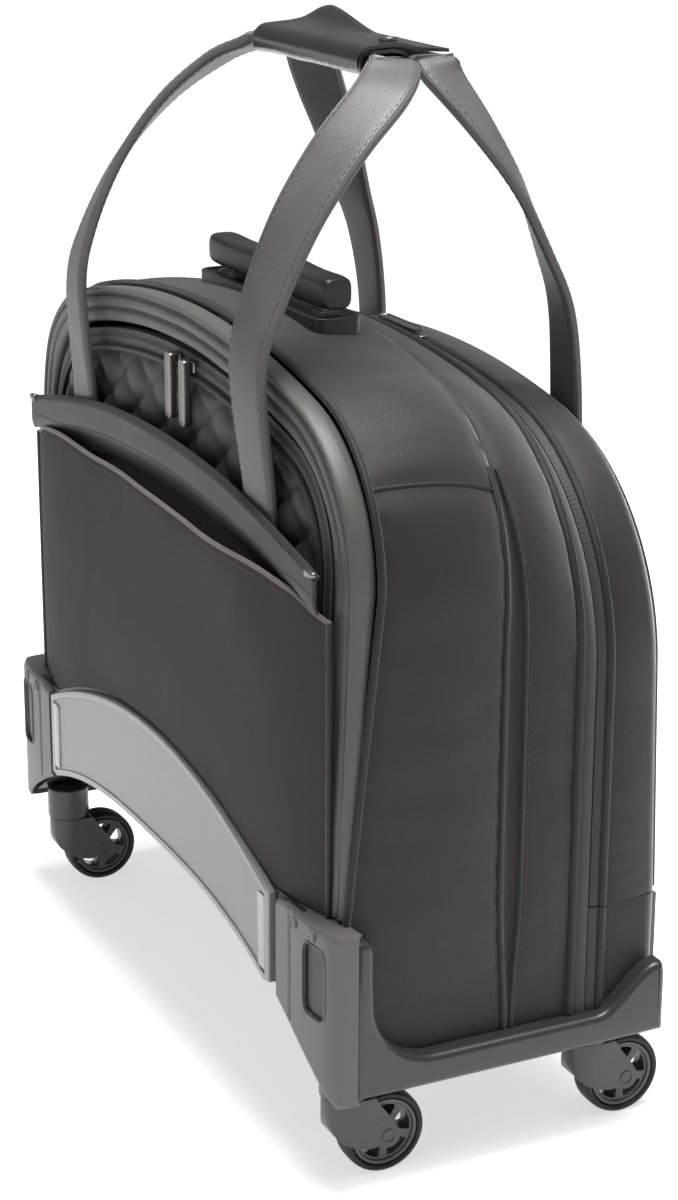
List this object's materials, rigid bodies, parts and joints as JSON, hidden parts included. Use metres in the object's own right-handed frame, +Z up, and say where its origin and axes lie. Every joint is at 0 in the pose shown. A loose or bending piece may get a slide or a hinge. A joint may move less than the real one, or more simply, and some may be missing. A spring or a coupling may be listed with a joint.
{
  "type": "rolling laptop case",
  "caption": "Domed fabric laptop case on a vaulted base with swivel castors, telescopic pull handle, zipped front and rear sections, slip pocket and joined carry loops.",
  "frame": {"origin": "on the floor under the middle of the case", "axes": "+Z up, front faces -Y, +X is the case's right side as its front is seen"},
  "size_m": [0.4542, 0.2084, 0.5591],
  "materials": {
    "body fabric": "satin weave",
    "quilted satin": "diamond-quilted satin",
    "rim satin": "smooth satin",
    "grey leatherette": "fine grain with edge stitching",
    "black leatherette": "glossy grain",
    "grey plastic": "satin moulding",
    "black plastic": "satin moulding",
    "silver plastic": "silver satin",
    "tube aluminium": "anodised",
    "axle steel": "bright",
    "tyre rubber": "smooth tread",
    "stiffener board": "lined board",
    "pewter metal": "pewter"
  },
  "bodies": {
    "case": {"chassis_vault": "black plastic", "front_wall": "black plastic", "kick_plate": "silver plastic", "front_guard_left": "grey plastic", "front_guard_right": "grey plastic", "guard_window_left": "black plastic", "guard_window_right": "black plastic", "side_trim_left": "grey plastic", "side_trim_right": "grey plastic", "rear_skirt": "body fabric", "rear_skid_plate": "grey plastic", "front_floor_board": "stiffener board", "main_floor_board": "stiffener board", "mid_gusset": "body fabric", "front_rim": "rim satin", "divider_panel": "stiffener board", "trolley_bezel": "black plastic", "trolley_outer_left": "tube aluminium", "trolley_outer_right": "tube aluminium", "castor_housing_front_left": "black plastic", "castor_housing_front_right": "black plastic", "castor_housing_rear_left": "black plastic", "castor_housing_rear_right": "black plastic"},
    "castor_front_left": {"castor_fork_front_left": "black plastic", "castor_axle_front_left": "axle steel"},
    "wheel_front_left": {"castor_wheel_front_left": "black plastic", "castor_tyre_front_left": "tyre rubber"},
    "castor_front_right": {"castor_fork_front_right": "black plastic", "castor_axle_front_right": "axle steel"},
    "wheel_front_right": {"castor_wheel_front_right": "black plastic", "castor_tyre_front_right": "tyre rubber"},
    "castor_rear_left": {"castor_fork_rear_left": "black plastic", "castor_axle_rear_left": "axle steel"},
    "wheel_rear_left": {"castor_wheel_rear_left": "black plastic", "castor_tyre_rear_left": "tyre rubber"},
    "castor_rear_right": {"castor_fork_rear_right": "black plastic", "castor_axle_rear_right": "axle steel"},
    "wheel_rear_right": {"castor_wheel_rear_right": "black plastic", "castor_tyre_rear_right": "tyre rubber"},
    "front_lid": {"front_panel": "quilted satin", "pocket_panel": "body fabric", "pocket_band": "grey leatherette", "front_handle_strap": "grey leatherette", "grip_wrap": "black leatherette"},
    "wrap_flap": {"wrap_flap": "black leatherette"},
    "rear_lid": {"rear_gusset": "body fabric", "rear_panel": "body fabric", "rear_handle_strap": "grey leatherette"},
    "trolley_middle": {"trolley_middle_left": "tube aluminium", "trolley_middle_right": "tube aluminium"},
    "trolley_top": {"trolley_inner_left": "tube aluminium", "trolley_inner_right": "tube aluminium", "trolley_grip": "black plastic"},
    "trolley_button": {"trolley_button": "grey plastic"},
    "front_slider_left": {"front_slider_left": "pewter metal"},
    "front_slider_right": {"front_slider_right": "pewter metal"},
    "front_pull_left": {"front_pull_left": "pewter metal"},
    "front_pull_right": {"front_pull_right": "pewter metal"},
    "main_slider": {"main_slider": "pewter metal"},
    "main_pull": {"main_pull": "pewter metal"}
  },
  "joints": [
    {"name": "swivel_front_left", "type": "hinge", "parent": "case", "child": "castor_front_left", "pos_m": [-0.2006, -0.08025, 0.0469], "axis": [0, 0, 1], "continuous": true},
    {"name": "roll_front_left", "type": "hinge", "parent": "castor_front_left", "child": "wheel_front_left", "pos_m": [-0.2006, -0.06025, 0.0225], "axis": [1, 0, 0], "continuous": true},
    {"name": "swivel_front_right", "type": "hinge", "parent": "case", "child": "castor_front_right", "pos_m": [0.2006, -0.08025, 0.0469], "axis": [0, 0, 1], "continuous": true},
    {"name": "roll_front_right", "type": "hinge", "parent": "castor_front_right", "child": "wheel_front_right", "pos_m": [0.2006, -0.06025, 0.0225], "axis": [1, 0, 0], "continuous": true},
    {"name": "swivel_rear_left", "type": "hinge", "parent": "case", "child": "castor_rear_left", "pos_m": [-0.2006, 0.06175, 0.0469], "axis": [0, 0, 1], "continuous": true},
    {"name": "roll_rear_left", "type": "hinge", "parent": "castor_rear_left", "child": "wheel_rear_left", "pos_m": [-0.2006, 0.08175, 0.0225], "axis": [1, 0, 0], "continuous": true},
    {"name": "swivel_rear_right", "type": "hinge", "parent": "case", "child": "castor_rear_right", "pos_m": [0.2006, 0.06175, 0.0469], "axis": [0, 0, 1], "continuous": true},
    {"name": "roll_rear_right", "type": "hinge", "parent": "castor_rear_right", "child": "wheel_rear_right", "pos_m": [0.2006, 0.08175, 0.0225], "axis": [1, 0, 0], "continuous": true},
    {"name": "front_lid_hinge", "type": "hinge", "parent": "case", "child": "front_lid", "pos_m": [0, -0.1042, 0.147], "axis": [1, 0, 0], "range_deg": [0, 75]},
    {"name": "rear_lid_hinge", "type": "hinge", "parent": "case", "child": "rear_lid", "pos_m": [0, 0.0955, 0.129], "axis": [-1, 0, 0], "range_deg": [0, 75]},
    {"name": "flap_hinge", "type": "hinge", "parent": "front_lid", "child": "wrap_flap", "pos_m": [0, -0.0072, 0.5501], "axis": [1, 0, 0], "range_deg": [0, 150]},
    {"name": "trolley_middle_slide", "type": "slide", "parent": "case", "child": "trolley_middle", "axis": [0, 0, 1], "range_m": [0, 0.27]},
    {"name": "trolley_top_slide", "type": "slide", "parent": "trolley_middle", "child": "trolley_top", "axis": [0, 0, 1], "range_m": [0, 0.27]},
    {"name": "trolley_button_press", "type": "slide", "parent": "trolley_top", "child": "trolley_button", "axis": [0, 0, -1], "range_m": [0, 0.002], "stiffness_N_per_m": 400, "springref_m": -0.002},
    {"name": "front_slider_left_run", "type": "hinge", "parent": "front_lid", "child": "front_slider_left", "pos_m": [0, -0.0804, -0.185], "axis": [0, 1, 0], "range_deg": [-9.6, 0]},
    {"name": "front_pull_left_swing", "type": "hinge", "parent": "front_slider_left", "child": "front_pull_left", "pos_m": [0.0005, -0.0871, 0.39], "axis": [-1, 0, 0], "range_deg": [0, 110]},
    {"name": "front_slider_right_run", "type": "hinge", "parent": "front_lid", "child": "front_slider_right", "pos_m": [0, -0.0804, -0.185], "axis": [0, 1, 0], "range_deg": [0, 7.6]},
    {"name": "front_pull_right_swing", "type": "hinge", "parent": "front_slider_right", "child": "front_pull_right", "pos_m": [0.0195, -0.0871, 0.38967], "axis": [-1, 0, 0], "range_deg": [0, 110]},
    {"name": "main_slider_run", "type": "hinge", "parent": "rear_lid", "child": "main_slider", "pos_m": [0, 0.052, -0.216], "axis": [0, 1, 0], "range_deg": [-11, 9]},
    {"name": "main_pull_swing", "type": "hinge", "parent": "main_slider", "child": "main_pull", "pos_m": [0.01, 0.0532, 0.3911], "axis": [0, 1, 0], "range_deg": [0, 150]}
  ]
}
